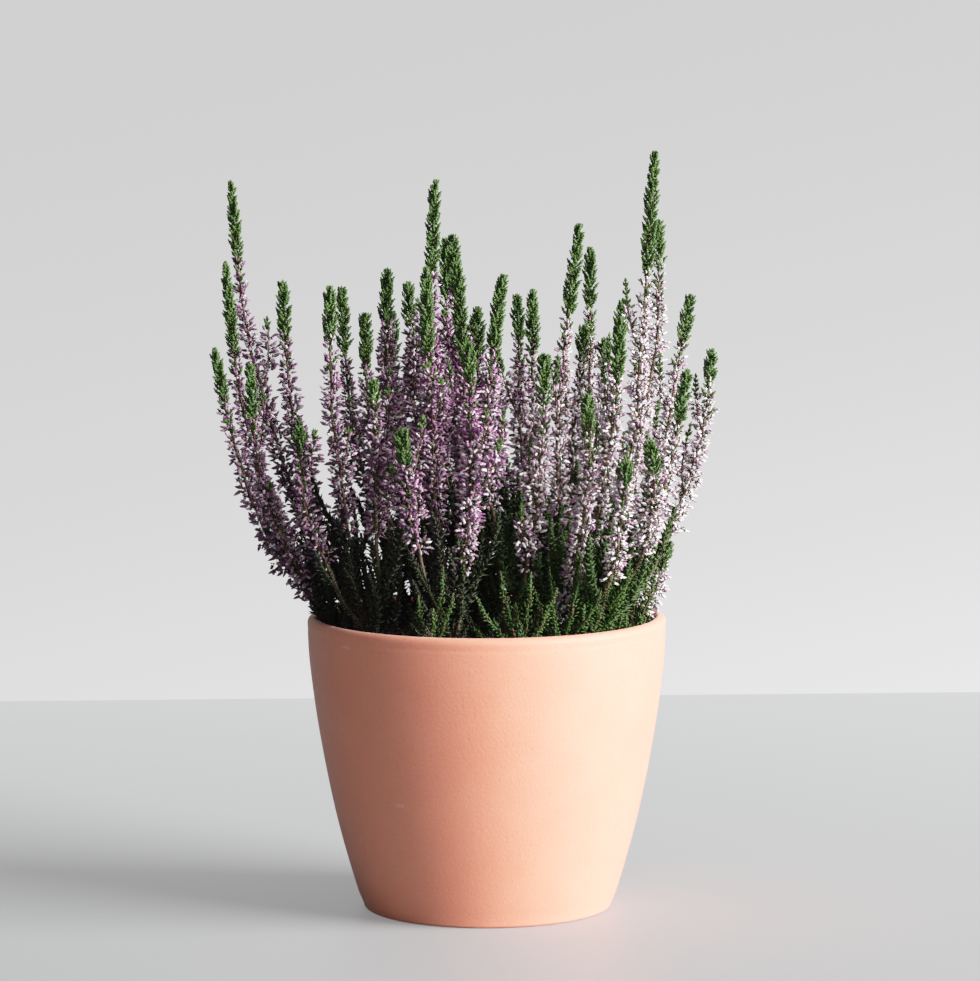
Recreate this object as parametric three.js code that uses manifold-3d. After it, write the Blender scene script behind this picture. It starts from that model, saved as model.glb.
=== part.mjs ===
// A bud-flowering heather (Calluna vulgaris) growing in a plain terracotta pot, as a three.js scene graph.
//
// Millimetres, +Z up. The origin is the centre of the pot's flat base, on the surface that it stands on.
// +X is to the right and +Y is away from someone who looks at the front.
//
// The plant is built the way it grows. Woody branches come up out of the soil, and each divides close to the
// soil into flowering spikes, which are set all round with closed buds. A spike goes on above its buds as a
// green leafy tip. Low leafy shoots without flowers fill the foot of the plant.
// Buds and leaves are raised from the surface of their stem: every second point of a ring stands out, and the
// points between stay on the stem.
import * as THREE from "three";
import { mergeVertices } from "three/addons/utils/BufferGeometryUtils.js";
import Module from "manifold-3d";

const wasm = await Module();
wasm.setup();

// ---------------------------------------------------------------- driving dimensions

const RIM_RADIUS = 70; // outside, at the widest
const BASE_RADIUS = 48; // outside, where the wall starts
const POT_HEIGHT = 115;
const WALL = 5;
const FLOOR = 7;
const FLOOR_ROUND = 4; // how far the inside corner runs in over the floor
const LIP_ROUND = 2.5; // radius of the rounded top edge, half the wall
const BASE_BEVEL = 1.6;
const POT_SEGMENTS = 36;

const SOIL_TOP = 100; // mean height of the soil at the wall
const SOIL_MOUND = 3; // how much higher it is in the middle
const SOIL_LUMP = 0.9;
const SOIL_SEGMENTS = 20;

const GAP = 0.3; // between touching pieces
const ROOT_DEPTH = 14; // how deep a woody base stands in the soil
const ROOT_CLEARANCE = 0.5; // round a woody base, in its hole in the soil
const COLLAR_HEIGHT = 7; // how far a woody base shows above the soil before it divides
const COLLAR_RADIUS = 2.6; // of a branch
const SHOOT_COLLAR_RADIUS = 1.9; // of a clump of leafy shoots
const STEM_SINK = 2; // how far below the collar's top its stems start

const STEM_SIDES = 4; // points round a stem, so two buds or leaves stand out of each ring
const COLLAR_SIDES = 6;
const RING_TURN = THREE.MathUtils.degToRad(20); // from one ring to the next, so that buds stand out all round
const BUD_STEP = 4.3; // from one ring of buds to the next
const LEAF_STEP = 3.2; // from one ring of leaves to the next
const BUD_REACH = 5.2; // from the middle of the stem to the end of a bud
const LEAF_REACH = 3.2; // the same for the leaves of a tip
const STEM_RADIUS = 1.3;
const BARE_SHARE = 0.2; // the share of a spike below its first buds
const TIP_LEAN = 0.08 / 60; // how much of its place in y a green tip gains for each millimetre of its length

const COLOURS = {
  terracotta: 0xd99a7c,
  soil: 0x2b211b,
  buds: 0xb583a6,
  leaves: 0x3f6b2c,
};

// ---------------------------------------------------------------- solids

// A seeded draw from -1 to 1, so that every run gives the same plant.
function draws(seed) {
  let state = seed;
  return () => {
    state = (Math.imul(state, 1664525) + 1013904223) >>> 0;
    return state / 0x80000000 - 1;
  };
}

// A closed geometry as a manifold-3d solid.
function solidOf(geometry) {
  const bare = new THREE.BufferGeometry()
    .setAttribute("position", geometry.getAttribute("position"))
    .setIndex(geometry.index);
  const merged = mergeVertices(bare, 1e-4);
  return new wasm.Manifold(
    new wasm.Mesh({
      numProp: 3,
      vertProperties: new Float32Array(merged.attributes.position.array),
      triVerts: new Uint32Array(merged.index.array),
    }),
  );
}

function geometryOf(solid) {
  const mesh = solid.getMesh();
  return new THREE.BufferGeometry()
    .setAttribute("position", new THREE.BufferAttribute(mesh.vertProperties, 3))
    .setIndex(new THREE.BufferAttribute(mesh.triVerts, 1));
}

// Solids joined in one. Only the largest shell is kept, so that a pocket sealed between two stems is filled.
function union(geometries) {
  const joined = geometries.map(solidOf).reduce((all, one) => all.add(one));
  const shells = joined.decompose();
  return geometryOf(shells.reduce((largest, one) => (one.volume() > largest.volume() ? one : largest)));
}

// A closed column along a curve. Each station is a ring: { at } is its share of the curve's length, and every
// second point of it lies at { high } from the curve, carried { lift } along it, the others at { low }.
function column(curve, stations, sides = STEM_SIDES) {
  const points = [];
  const reference = new THREE.Vector3(1, 0, 0);
  stations.forEach(({ at, low, high = low, lift = 0 }, ring) => {
    const centre = curve.getPointAt(at);
    const along = curve.getTangentAt(at);
    const across = reference.clone().addScaledVector(along, -reference.dot(along)).normalize();
    const beside = along.clone().cross(across);
    for (let side = 0; side < sides; side++) {
      const angle = (side * 2 * Math.PI) / sides + ring * RING_TURN;
      const standsOut = (ring + side) % 2 === 0;
      const reach = standsOut ? high : low;
      points.push(
        centre
          .clone()
          .addScaledVector(across, reach * Math.cos(angle))
          .addScaledVector(beside, reach * Math.sin(angle))
          .addScaledVector(along, standsOut ? lift : 0),
      );
    }
  });
  const foot = points.push(curve.getPointAt(stations[0].at)) - 1;
  const head = points.push(curve.getPointAt(stations.at(-1).at)) - 1;

  const faces = [];
  const point = (ring, side) => ring * sides + (side % sides);
  for (let side = 0; side < sides; side++) {
    faces.push(foot, point(0, side + 1), point(0, side));
    const last = stations.length - 1;
    faces.push(head, point(last, side), point(last, side + 1));
    for (let ring = 0; ring < last; ring++) {
      const a = point(ring, side);
      const b = point(ring, side + 1);
      const c = point(ring + 1, side);
      const d = point(ring + 1, side + 1);
      // The fold runs between the two points that stay on the stem, so that each bud is a pyramid of its own.
      if ((ring + side) % 2 === 0) faces.push(a, b, c, b, d, c);
      else faces.push(a, b, d, a, d, c);
    }
  }
  return new THREE.BufferGeometry().setFromPoints(points).setIndex(faces);
}

// ---------------------------------------------------------------- pot

// The outside of the wall: a soft curve from the base to the rim, nearly upright at the top.
const wallLine = new THREE.SplineCurve([
  new THREE.Vector2(BASE_RADIUS, BASE_BEVEL),
  new THREE.Vector2(0.832 * RIM_RADIUS, 0.32 * POT_HEIGHT),
  new THREE.Vector2(0.927 * RIM_RADIUS, 0.6 * POT_HEIGHT),
  new THREE.Vector2(0.982 * RIM_RADIUS, 0.84 * POT_HEIGHT),
  new THREE.Vector2(RIM_RADIUS, POT_HEIGHT - LIP_ROUND),
]);

// The inside of the wall at a height, measured in from the outside.
function innerRadius(height) {
  let low = 0;
  let high = 1;
  for (let step = 0; step < 20; step++) {
    const middle = (low + high) / 2;
    if (wallLine.getPoint(middle).y < height) low = middle;
    else high = middle;
  }
  return wallLine.getPoint(low).x - WALL;
}

function turned(profile, segments) {
  return new THREE.LatheGeometry(profile, segments).rotateX(Math.PI / 2);
}

const lip = [135, 90, 45].map((degrees) => {
  const angle = THREE.MathUtils.degToRad(180 - degrees);
  return new THREE.Vector2(
    RIM_RADIUS - LIP_ROUND + LIP_ROUND * Math.cos(angle),
    POT_HEIGHT - LIP_ROUND + LIP_ROUND * Math.sin(angle),
  );
});
const potProfile = [
  new THREE.Vector2(0, 0),
  new THREE.Vector2(BASE_RADIUS - BASE_BEVEL, 0),
  ...wallLine.getPoints(5),
  ...lip,
  ...[POT_HEIGHT - LIP_ROUND, 0.7 * POT_HEIGHT, 0.4 * POT_HEIGHT, 1.7 * FLOOR].map(
    (height) => new THREE.Vector2(innerRadius(height), height),
  ),
  new THREE.Vector2(innerRadius(FLOOR) - FLOOR_ROUND, FLOOR),
  new THREE.Vector2(0, FLOOR),
];

// ---------------------------------------------------------------- soil

// The height of the soil's surface: a low mound with lumps.
function soilHeight(x, y) {
  const share = Math.hypot(x, y) / innerRadius(SOIL_TOP);
  const mound = SOIL_MOUND * (1 - share * share);
  const lumps = Math.sin(0.31 * x + 1) * Math.cos(0.27 * y) + Math.sin(0.53 * y + 0.19 * x);
  return SOIL_TOP + mound + SOIL_LUMP * lumps * (1 - 0.5 * share);
}

function soilGeometry(cutters) {
  const wall = [1.7 * FLOOR, 0.4 * POT_HEIGHT, 0.7 * POT_HEIGHT, SOIL_TOP].map(
    (height) => new THREE.Vector2(innerRadius(height) - 3 * GAP, height + GAP),
  );
  const surface = [0.8, 0.58, 0.38, 0.2, 0].map(
    (share) => new THREE.Vector2(share * innerRadius(SOIL_TOP), SOIL_TOP + 1),
  );
  const body = turned(
    [
      new THREE.Vector2(0, FLOOR + GAP),
      new THREE.Vector2(innerRadius(FLOOR) - FLOOR_ROUND - 1, FLOOR + GAP),
      ...wall,
      ...surface,
    ],
    SOIL_SEGMENTS,
  );
  const position = body.getAttribute("position");
  for (let i = 0; i < position.count; i++)
    if (position.getZ(i) > SOIL_TOP)
      position.setZ(i, soilHeight(position.getX(i), position.getY(i)));
  return geometryOf(
    cutters.map(solidOf).reduce((left, cutter) => left.subtract(cutter), solidOf(body)),
  );
}

// ---------------------------------------------------------------- plant

// Each branch has the place where it comes up out of the soil, and its spikes. A spike is given by the point
// of its green tip (x, y, z), the length of the green part, and how far in x its foot is from its point.
const BRANCHES = [
  { root: [-54, -12], spikes: [[-104.6, -22, 223, 22, 4], [-101, -4, 255, 37, 3.5], [-90, -38, 218, 22, 1]] },
  { root: [-47, 12], spikes: [[-100, 22, 285, 32, 3], [-79, 2, 247, 23, 1]] },
  {
    root: [-42, -32],
    spikes: [[-59.6, -28, 247, 22, 0], [-70.7, -46, 195, 12, 0], [-43, -50, 213, 12, 0.7]],
  },
  { root: [-27, 36], spikes: [[-57.6, 52, 241.5, 28, 1.5], [-38, 74, 230, 20, 1]] },
  { root: [-19, 3], spikes: [[-46.5, -4, 235, 22, 0], [-38, 12, 251, 23, -1], [-31, 36, 244.5, 18, 1]] },
  { root: [-12, -36], spikes: [[-31.7, -62, 195.5, 16, 1.2], [-23, -26, 254, 36, 1], [-7, -48, 227, 18, 1]] },
  {
    root: [-3, 24],
    spikes: [[-19, 6, 286, 38, -2], [-13, 38, 263, 25, 1], [-16, 68, 260, 25, 0], [-3, 14, 236, 22, 0]],
  },
  { root: [8, -18], spikes: [[-11, -10, 255, 38, 1.8], [7, -24, 251, 31, -4.5], [22, -42, 222, 20, 0]] },
  { root: [15, 36], spikes: [[12, 10, 241, 21, 0.8], [18.6, 40, 241, 26, 0], [4, 80, 228, 20, 0]] },
  {
    root: [24, -6],
    spikes: [[37, 0, 269, 38, -5], [39, 22, 228, 14, -1.5], [38, -48, 207, 17, 1], [52, -20, 234, 26, -1.5]],
  },
  {
    root: [36, 30],
    spikes: [[42, 68, 256, 25, 0], [47, 46, 221, 14, 0], [54, 12, 239, 19, -2], [69, 46, 268, 20, 0]],
  },
  { root: [47, 2], spikes: [[66, 0, 297, 49, -3.5], [81, 20, 240, 21, -4], [89.7, -4, 220.5, 15, -3.2]] },
  {
    root: [38, -32],
    spikes: [[78, -22, 214, 23, -4.3], [62.7, -38, 188, 14, 1.5], [53.4, -58, 182, 10, -1]],
  },
];

// The low leafy shoots: each clump's place in the soil, and the points of its shoots.
const CLUMPS = [
  {
    root: [13, -53],
    shoots: [[5, -60, 141], [17, -62, 141], [27, -63, 135], [-5, -62, 132], [11, -58, 129]],
  },
  {
    root: [55, -14],
    shoots: [[70, -22, 144], [66, -28, 138], [72, -8, 146], [60, -10, 152], [62, -22, 131]],
  },
  {
    root: [-8, 56],
    shoots: [[-22, 67, 140], [-5, 70, 134], [-10, 61, 147], [-33, 60, 132], [4, 64, 128]],
  },
  { root: [-22, -52], shoots: [[-16, -61, 143], [-26, -60, 132], [-12, -62, 133], [-20, -62, 127]] },
  { root: [28, -40], shoots: [[24, -46, 140], [36, -52, 143], [44, -58, 133], [18, -44, 132]] },
];

const names = (word, index) => `${word}_${String(index + 1).padStart(2, "0")}`;

// The top of the woody collar of a branch or clump.
function collarTop([x, y]) {
  return new THREE.Vector3(x, y, soilHeight(x, y) + COLLAR_HEIGHT);
}

// Where its stems start, sunk in the collar so that they join it.
function stemStart(root) {
  return collarTop(root).sub(new THREE.Vector3(0, 0, STEM_SINK));
}

// The woody base of a branch, upright in its hole in the soil.
function collar(root, radius) {
  const top = collarTop(root);
  const bottom = top.clone().setZ(top.z - COLLAR_HEIGHT - ROOT_DEPTH);
  const rings = [
    { at: 0, low: 0.8 * radius },
    { at: 0.6, low: radius },
    { at: 1, low: 0.75 * radius },
  ];
  return column(new THREE.LineCurve3(bottom, top), rings, COLLAR_SIDES);
}

// The way a stem takes from its collar to the foot of its green tip. It sets off outwards and ends along
// the tip.
function stemRoute(start, end, along) {
  const way = end.clone().sub(start);
  return new THREE.CubicBezierCurve3(
    start,
    start.clone().add(new THREE.Vector3(0.57 * way.x, 0.57 * way.y, 0.3 * way.z)),
    end.clone().addScaledVector(along, -0.35 * way.length()),
    end,
  );
}

// Rings of buds up a spike. The lowest and the highest are smaller.
function budStations(length, random) {
  const count = Math.round(((1 - BARE_SHARE) * length) / BUD_STEP);
  const rings = [
    { at: 0, low: 1.2 * STEM_RADIUS },
    { at: 0.9 * BARE_SHARE, low: 1.1 * STEM_RADIUS },
  ];
  for (let ring = 0; ring < count; ring++) {
    const share = ring / (count - 1);
    const size = Math.min(1, 0.65 + 1.6 * share) * (1.08 - 0.42 * share * share);
    rings.push({
      at: BARE_SHARE + (1 - BARE_SHARE) * share * (1 - 0.7 / count),
      low: 1.25 * STEM_RADIUS,
      high: BUD_REACH * size * (1 + 0.1 * random()),
      lift: 1.5 + 1.2 * random(),
    });
  }
  rings.push({ at: 1, low: 0.85 * STEM_RADIUS });
  return rings;
}

// Rings of leaves, closing to a point.
function leafStations(length, reach, random) {
  const count = Math.max(3, Math.round(length / LEAF_STEP));
  const rings = [{ at: 0, low: 0.8 * STEM_RADIUS }];
  for (let ring = 0; ring < count; ring++) {
    const share = (ring + 0.55) / count;
    const size = Math.min(1, 0.7 + share) * Math.sqrt(1.12 - share * share);
    rings.push({
      at: share * (1 - 0.3 / count),
      low: 0.5 * reach * size,
      high: reach * size * (1 + 0.1 * random()),
      lift: 0.6 * LEAF_STEP,
    });
  }
  rings.push({ at: 1, low: 0.25 });
  return rings;
}

function material(colour, roughness) {
  return new THREE.MeshStandardMaterial({ color: colour, roughness, metalness: 0, flatShading: true });
}
const terracottaMaterial = material(COLOURS.terracotta, 0.85);
const soilMaterial = material(COLOURS.soil, 1);
const budMaterial = material(COLOURS.buds, 0.6);
const leafMaterial = material(COLOURS.leaves, 0.55);

const heather = new THREE.Group();
function addPiece(name, geometry, material) {
  const mesh = new THREE.Mesh(geometry, material);
  mesh.name = name;
  heather.add(mesh);
}

// The hole in the soil for a woody base. It reaches well above the soil, so that it opens at the surface.
const rootHoles = [];
function rootHole([x, y], radius) {
  const height = 3 * ROOT_DEPTH;
  const bottom = soilHeight(x, y) - ROOT_DEPTH - GAP;
  const wide = radius + ROOT_CLEARANCE;
  const hole = new THREE.CylinderGeometry(wide, wide, height, 8).rotateX(Math.PI / 2);
  rootHoles.push(hole.translate(x, y, bottom + height / 2));
}

BRANCHES.forEach(({ root, spikes }, branch) => {
  const random = draws(11 + branch);
  const start = stemStart(root);
  const stems = [collar(root, COLLAR_RADIUS)];
  spikes.forEach(([x, y, z, length, lean], spike) => {
    const point = new THREE.Vector3(x, y, z);
    const foot = new THREE.Vector3(x + lean, y * (1 - TIP_LEAN * length), z - length);
    const along = point.clone().sub(foot).normalize();
    const route = stemRoute(start, foot, along);
    stems.push(column(route, budStations(route.getLength(), random)));
    const tip = new THREE.LineCurve3(foot.clone().addScaledVector(along, GAP), point);
    addPiece(
      `${names("green_tip", branch)}_${spike + 1}`,
      column(tip, leafStations(length, LEAF_REACH, random)),
      leafMaterial,
    );
  });
  addPiece(names("flower_branch", branch), union(stems), budMaterial);
  rootHole(root, COLLAR_RADIUS);
});

CLUMPS.forEach(({ root, shoots }, clump) => {
  const random = draws(61 + clump);
  const start = stemStart(root);
  const stems = shoots.map(([x, y, z]) => {
    const route = new THREE.QuadraticBezierCurve3(
      start,
      new THREE.Vector3((start.x + 2 * x) / 3, (start.y + 2 * y) / 3, start.z + 0.45 * (z - start.z)),
      new THREE.Vector3(x, y, z),
    );
    return column(route, leafStations(route.getLength(), 0.9 * LEAF_REACH, random));
  });
  addPiece(names("leafy_shoots", clump), union([collar(root, SHOOT_COLLAR_RADIUS), ...stems]), leafMaterial);
  rootHole(root, SHOOT_COLLAR_RADIUS);
});

addPiece("soil", soilGeometry(rootHoles), soilMaterial);
addPiece("pot", turned(potProfile, POT_SEGMENTS), terracottaMaterial);

export default heather;
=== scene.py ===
import itertools
import math

import bpy
import numpy as np
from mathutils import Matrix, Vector, noise


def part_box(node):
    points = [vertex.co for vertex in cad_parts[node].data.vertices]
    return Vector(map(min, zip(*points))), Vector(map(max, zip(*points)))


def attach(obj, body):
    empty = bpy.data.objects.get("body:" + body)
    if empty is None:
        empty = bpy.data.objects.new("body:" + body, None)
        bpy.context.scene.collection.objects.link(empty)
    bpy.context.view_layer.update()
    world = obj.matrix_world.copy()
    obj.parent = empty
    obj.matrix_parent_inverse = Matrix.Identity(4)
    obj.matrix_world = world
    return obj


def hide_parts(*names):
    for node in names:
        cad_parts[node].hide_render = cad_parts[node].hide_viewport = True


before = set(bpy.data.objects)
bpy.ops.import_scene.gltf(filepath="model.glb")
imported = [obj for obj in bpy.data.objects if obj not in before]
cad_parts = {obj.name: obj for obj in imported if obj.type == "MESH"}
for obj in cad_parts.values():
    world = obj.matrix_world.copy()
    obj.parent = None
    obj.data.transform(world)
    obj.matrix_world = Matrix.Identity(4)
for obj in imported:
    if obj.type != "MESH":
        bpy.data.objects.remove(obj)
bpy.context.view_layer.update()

scene = bpy.context.scene

# ---------------- camera
# A long lens 1.85 m in front of the pot and a quarter of a metre above its rim, looking slightly down, as one
# sees a pot on a table from a chair.
CAMERA_AWAY = 1.8517
CAMERA_HEIGHT = 0.365
CAMERA_DOWN = 6.203
CAMERA_ROLL = -0.2
camera = bpy.data.objects.new("camera", bpy.data.cameras.new("camera"))
camera.location = (0.0, -CAMERA_AWAY, CAMERA_HEIGHT)
camera.rotation_euler = (math.radians(90 - CAMERA_DOWN), 0.0, 0.0)
camera.rotation_euler.rotate_axis("Z", math.radians(CAMERA_ROLL))
camera.data.lens = 175.4
camera.data.sensor_width = 36.0
camera.data.shift_x = 0.0039
camera.data.clip_end = 20.0
scene.collection.objects.link(camera)
scene.camera = camera

# ---------------- pot
# One piece of unglazed clay with sand in it, turned on a wheel and fired to a pale peach terracotta. It has a
# solid floor, a wall that draws in to a narrow base, and a rounded lip with a faint line turned under it.
# WALL_SHAPE is the wall's radius at a few heights, as shares of the rim's radius and height.
_, pot_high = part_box("pot")
RIM_RADIUS = pot_high.x
POT_HEIGHT = pot_high.z
BASE_RADIUS = 0.0487
WALL_SHAPE = [(0.737, 0.080), (0.845, 0.32), (0.935, 0.60), (0.988, 0.84)]
WALL_STEPS = 24
POT_WALL = 0.005
POT_FLOOR = 0.007
FLOOR_ROUND = 0.005
BASE_ROUND = 0.0016
LIP_ROUND = POT_WALL / 2
LIP_MIDDLE = POT_HEIGHT - LIP_ROUND
LIP_LINE_HEIGHT = POT_HEIGHT - 0.0046
LIP_LINE_DEPTH = 0.00007
LIP_LINE_WIDTH = 0.00080
POT_SIDES = 96
CLAY_PALE = (0.89, 0.308, 0.196, 1.0)
CLAY_DEEP = (0.86, 0.271, 0.167, 1.0)
LIME = (0.88, 0.66, 0.56, 1.0)
PIT = (0.36, 0.14, 0.085, 1.0)
LIME_MARKS = [(-0.0334, -0.0520, 0.0484), (-0.0530, -0.0440, 0.1085)]
MARK_STRETCH = (0.6, 0.6, 2.0)
MARK_EDGE = 0.0028
MARK_MIDDLE = 0.0012
MARK_RAGGED = 0.0022


def unit(rows):
    """Each row scaled to length 1."""
    return rows / np.maximum(np.linalg.norm(rows, axis=-1, keepdims=True), 1e-12)


def bezier(controls, count):
    """Points on a Bezier curve."""
    shares = np.linspace(0, 1, count)[:, None]
    degree = len(controls) - 1
    terms = [
        math.comb(degree, i) * shares**i * (1 - shares) ** (degree - i) * controls[i]
        for i in range(degree + 1)
    ]
    return np.sum(terms, axis=0)


def smooth_line(corners, steps):
    """A line through the corners without a kink, with this many points to each stretch."""
    corners = np.array(corners)
    before = np.vstack([corners[:1], corners[:-2]])
    after = np.vstack([corners[2:], corners[-1:]])
    stretches = [
        bezier([b, b + (c - a) / 6, c - (d - b) / 6, c], steps + 1)[:-1]
        for a, b, c, d in zip(before, corners[:-1], corners[1:], after)
    ]
    return np.vstack([*stretches, corners[-1:]])


def arc(centre, radius, start, end, count):
    """Points on a round corner of a profile, from one angle to another in degrees."""
    angles = np.radians(np.linspace(start, end, count))
    return np.stack([centre[0] + radius * np.cos(angles), centre[1] + radius * np.sin(angles)], axis=1)


class Stock:
    """The points and faces of one piece as it is made, and its marks: numbers that its finish reads."""

    def __init__(self, finish, slot, *marks):
        self.finish, self.slot = finish, slot
        self.points, self.faces, self.count = [], [], 0
        self.marks = {mark: [] for mark in marks}

    def add(self, points, faces, **marks):
        self.points.append(points)
        self.faces.append(faces + self.count)
        self.count += len(points)
        for mark, values in self.marks.items():
            values.append(np.broadcast_to(marks[mark], len(points)))

    def add_copies(self, shape, places, axes, **marks):
        """One small shape at many places, each with axes of its own. A mark is per copy, or per point."""
        points, faces = shape
        size = (len(places), len(points))
        copies = places[:, None, :] + points @ axes
        copied_faces = faces + len(points) * np.arange(len(places))[:, None, None]
        spread = {mark: np.broadcast_to(value, size).ravel() for mark, value in marks.items()}
        self.add(copies.reshape(-1, 3), copied_faces.reshape(-1, 3), **spread)

    def piece(self, name, *nodes):
        """The finished piece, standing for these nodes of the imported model."""
        points, faces = np.concatenate(self.points), np.concatenate(self.faces)
        mesh = bpy.data.meshes.new(name)
        mesh.vertices.add(len(points))
        mesh.vertices.foreach_set("co", points.astype(np.float32).ravel())
        mesh.loops.add(faces.size)
        mesh.loops.foreach_set("vertex_index", faces.astype(np.int32).ravel())
        mesh.polygons.add(len(faces))
        mesh.polygons.foreach_set("loop_start", np.arange(0, faces.size, 3, dtype=np.int32))
        for mark, values in self.marks.items():
            layer = mesh.attributes.new(mark, "FLOAT", "POINT")
            layer.data.foreach_set("value", np.concatenate(values).astype(np.float32))
        mesh.update(calc_edges=True)
        mesh.shade_smooth()
        mesh.materials.append(self.finish)
        made = bpy.data.objects.new(name, mesh)
        scene.collection.objects.link(made)
        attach(made, "root")
        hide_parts(*nodes)


def closed_faces(rings, sides):
    """Faces of a body made of rings of points, closed by one point at its foot and one at its head."""
    ring, side = np.meshgrid(np.arange(rings - 1), np.arange(sides), indexing="ij")
    a, b = ring * sides + side, ring * sides + (side + 1) % sides
    near = np.stack([a, b, b + sides], axis=-1).reshape(-1, 3)
    far = np.stack([a, b + sides, a + sides], axis=-1).reshape(-1, 3)
    side, last = np.arange(sides), (rings - 1) * sides
    foot = np.stack([np.full(sides, rings * sides), (side + 1) % sides, side], axis=1)
    head = np.stack([np.full(sides, rings * sides + 1), last + side, last + (side + 1) % sides], axis=1)
    return np.vstack([near, far, foot, head])


def turned(profile, sides):
    """A closed body turned about the Z axis. Its profile starts and ends on the axis."""
    angles = 2 * np.pi * np.arange(sides) / sides
    radius, height = profile[1:-1, :1], profile[1:-1, 1:]
    rings = np.stack([radius * np.cos(angles), radius * np.sin(angles), height + 0 * angles], axis=2)
    ends = np.array([[0.0, 0.0, profile[0, 1]], [0.0, 0.0, profile[-1, 1]]])
    return np.vstack([rings.reshape(-1, 3), ends]), closed_faces(len(radius), sides)


wall_corners = [(radius * RIM_RADIUS, height * POT_HEIGHT) for radius, height in WALL_SHAPE]
outer_wall = smooth_line([(BASE_RADIUS, BASE_ROUND), *wall_corners, (RIM_RADIUS, LIP_MIDDLE)], WALL_STEPS)


def outer_radius(height):
    return np.interp(height, outer_wall[:, 1], outer_wall[:, 0])


def inner_radius(height):
    return outer_radius(height) - POT_WALL


even_heights = np.linspace(BASE_ROUND, LIP_MIDDLE, WALL_STEPS)[:-1]
line_heights = LIP_LINE_HEIGHT + LIP_LINE_WIDTH * np.linspace(-2, 2, 7)
wall_heights = np.sort(np.concatenate([even_heights, line_heights]))
lip_line = LIP_LINE_DEPTH * np.exp(-(((wall_heights - LIP_LINE_HEIGHT) / LIP_LINE_WIDTH) ** 2))
inside_heights = np.linspace(LIP_MIDDLE, 2 * POT_FLOOR, 7)
floor_edge = inner_radius(POT_FLOOR) - FLOOR_ROUND
pot_profile = np.vstack(
    [
        [(0.0, 0.0)],
        arc((BASE_RADIUS - BASE_ROUND, BASE_ROUND), BASE_ROUND, -90, 0, 7)[:-1],
        np.stack([outer_radius(wall_heights) - lip_line, wall_heights], axis=1),
        arc((RIM_RADIUS - LIP_ROUND, LIP_MIDDLE), LIP_ROUND, 0, 180, 13)[:-1],
        np.stack([inner_radius(inside_heights), inside_heights], axis=1),
        arc((floor_edge, POT_FLOOR + FLOOR_ROUND), FLOOR_ROUND, 0, -90, 7)[1:],
        [(0.0, POT_FLOOR)],
    ]
)


def give(tree, made, inputs):
    """Links or sets the inputs of a shader node."""
    for name, value in inputs.items():
        if isinstance(value, bpy.types.NodeSocket):
            tree.links.new(value, made.inputs[name])
        else:
            made.inputs[name].default_value = value


def add_node(tree, kind, inputs, **settings):
    """A shader node with its settings and inputs."""
    made = tree.nodes.new(kind)
    for name, value in settings.items():
        setattr(made, name, value)
    give(tree, made, inputs)
    return made


def blend(tree, share, first, second):
    """The colour that lies this share of the way from the first colour to the second."""
    inputs = {0: share, 6: first, 7: second}
    return add_node(tree, "ShaderNodeMix", inputs, data_type="RGBA").outputs[2]


def reach(tree, value, low, high, to_low=0.0, to_high=1.0):
    """A value carried from one range to another, and held inside it."""
    inputs = {"Value": value, "From Min": low, "From Max": high, "To Min": to_low, "To Max": to_high}
    return add_node(tree, "ShaderNodeMapRange", inputs).outputs["Result"]


def math_node(tree, operation, first, second=0.0):
    return add_node(tree, "ShaderNodeMath", {0: first, 1: second}, operation=operation).outputs[0]


def times(tree, first, second):
    return math_node(tree, "MULTIPLY", first, second)


def plus(tree, first, second):
    return math_node(tree, "ADD", first, second)


def vector_node(tree, operation, first, second):
    return add_node(tree, "ShaderNodeVectorMath", {0: first, 1: second}, operation=operation).outputs


def noise_node(tree, place, scale, detail, roughness=0.5):
    inputs = {"Vector": place, "Scale": scale, "Detail": detail, "Roughness": roughness}
    return add_node(tree, "ShaderNodeTexNoise", inputs).outputs[0]


def bump_node(tree, height, strength, distance):
    inputs = {"Height": height, "Strength": strength, "Distance": distance}
    return add_node(tree, "ShaderNodeBump", inputs).outputs["Normal"]


def mark_node(tree, mark):
    """The numbers that the points of a piece carry under this name."""
    return add_node(tree, "ShaderNodeAttribute", {}, attribute_name=mark).outputs["Fac"]


def object_place(tree):
    """The place on the object, in metres."""
    return tree.nodes.new("ShaderNodeTexCoord").outputs["Object"]


def new_finish(name):
    """A new material, with its tree and its Principled shader."""
    made = bpy.data.materials.new(name)
    made.use_nodes = True
    return made, made.node_tree, made.node_tree.nodes["Principled BSDF"]


def grain_group():
    """Sandy grain: soft mottling, fine grain, and scattered small specks, each from 0 to 1."""
    tree = bpy.data.node_groups.new("sandy grain", "ShaderNodeTree")
    for name, start in (("Mottle Scale", 40.0), ("Grain Scale", 1200.0), ("Speck Scale", 500.0)):
        socket = tree.interface.new_socket(name, in_out="INPUT", socket_type="NodeSocketFloat")
        socket.default_value = start
    for name in ("Mottle", "Grain", "Specks"):
        tree.interface.new_socket(name, in_out="OUTPUT", socket_type="NodeSocketFloat")
    given = tree.nodes.new("NodeGroupInput")
    result = tree.nodes.new("NodeGroupOutput")
    place = object_place(tree)
    mottle = noise_node(tree, place, given.outputs["Mottle Scale"], 4.0, 0.6)
    grain = noise_node(tree, place, given.outputs["Grain Scale"], 3.0, 0.65)
    cells = add_node(tree, "ShaderNodeTexVoronoi", {"Vector": place, "Scale": given.outputs["Speck Scale"]})
    chosen = add_node(tree, "ShaderNodeSeparateColor", {"Color": cells.outputs["Color"]}).outputs["Red"]
    near = reach(tree, cells.outputs["Distance"], 0.32, 0.16)
    few = reach(tree, chosen, 0.80, 0.84)
    mottle, grain = reach(tree, mottle, 0.3, 0.7), reach(tree, grain, 0.3, 0.7)
    give(tree, result, {"Mottle": mottle, "Grain": grain, "Specks": times(tree, near, few)})
    return tree


sandy_grain = grain_group()


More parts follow.
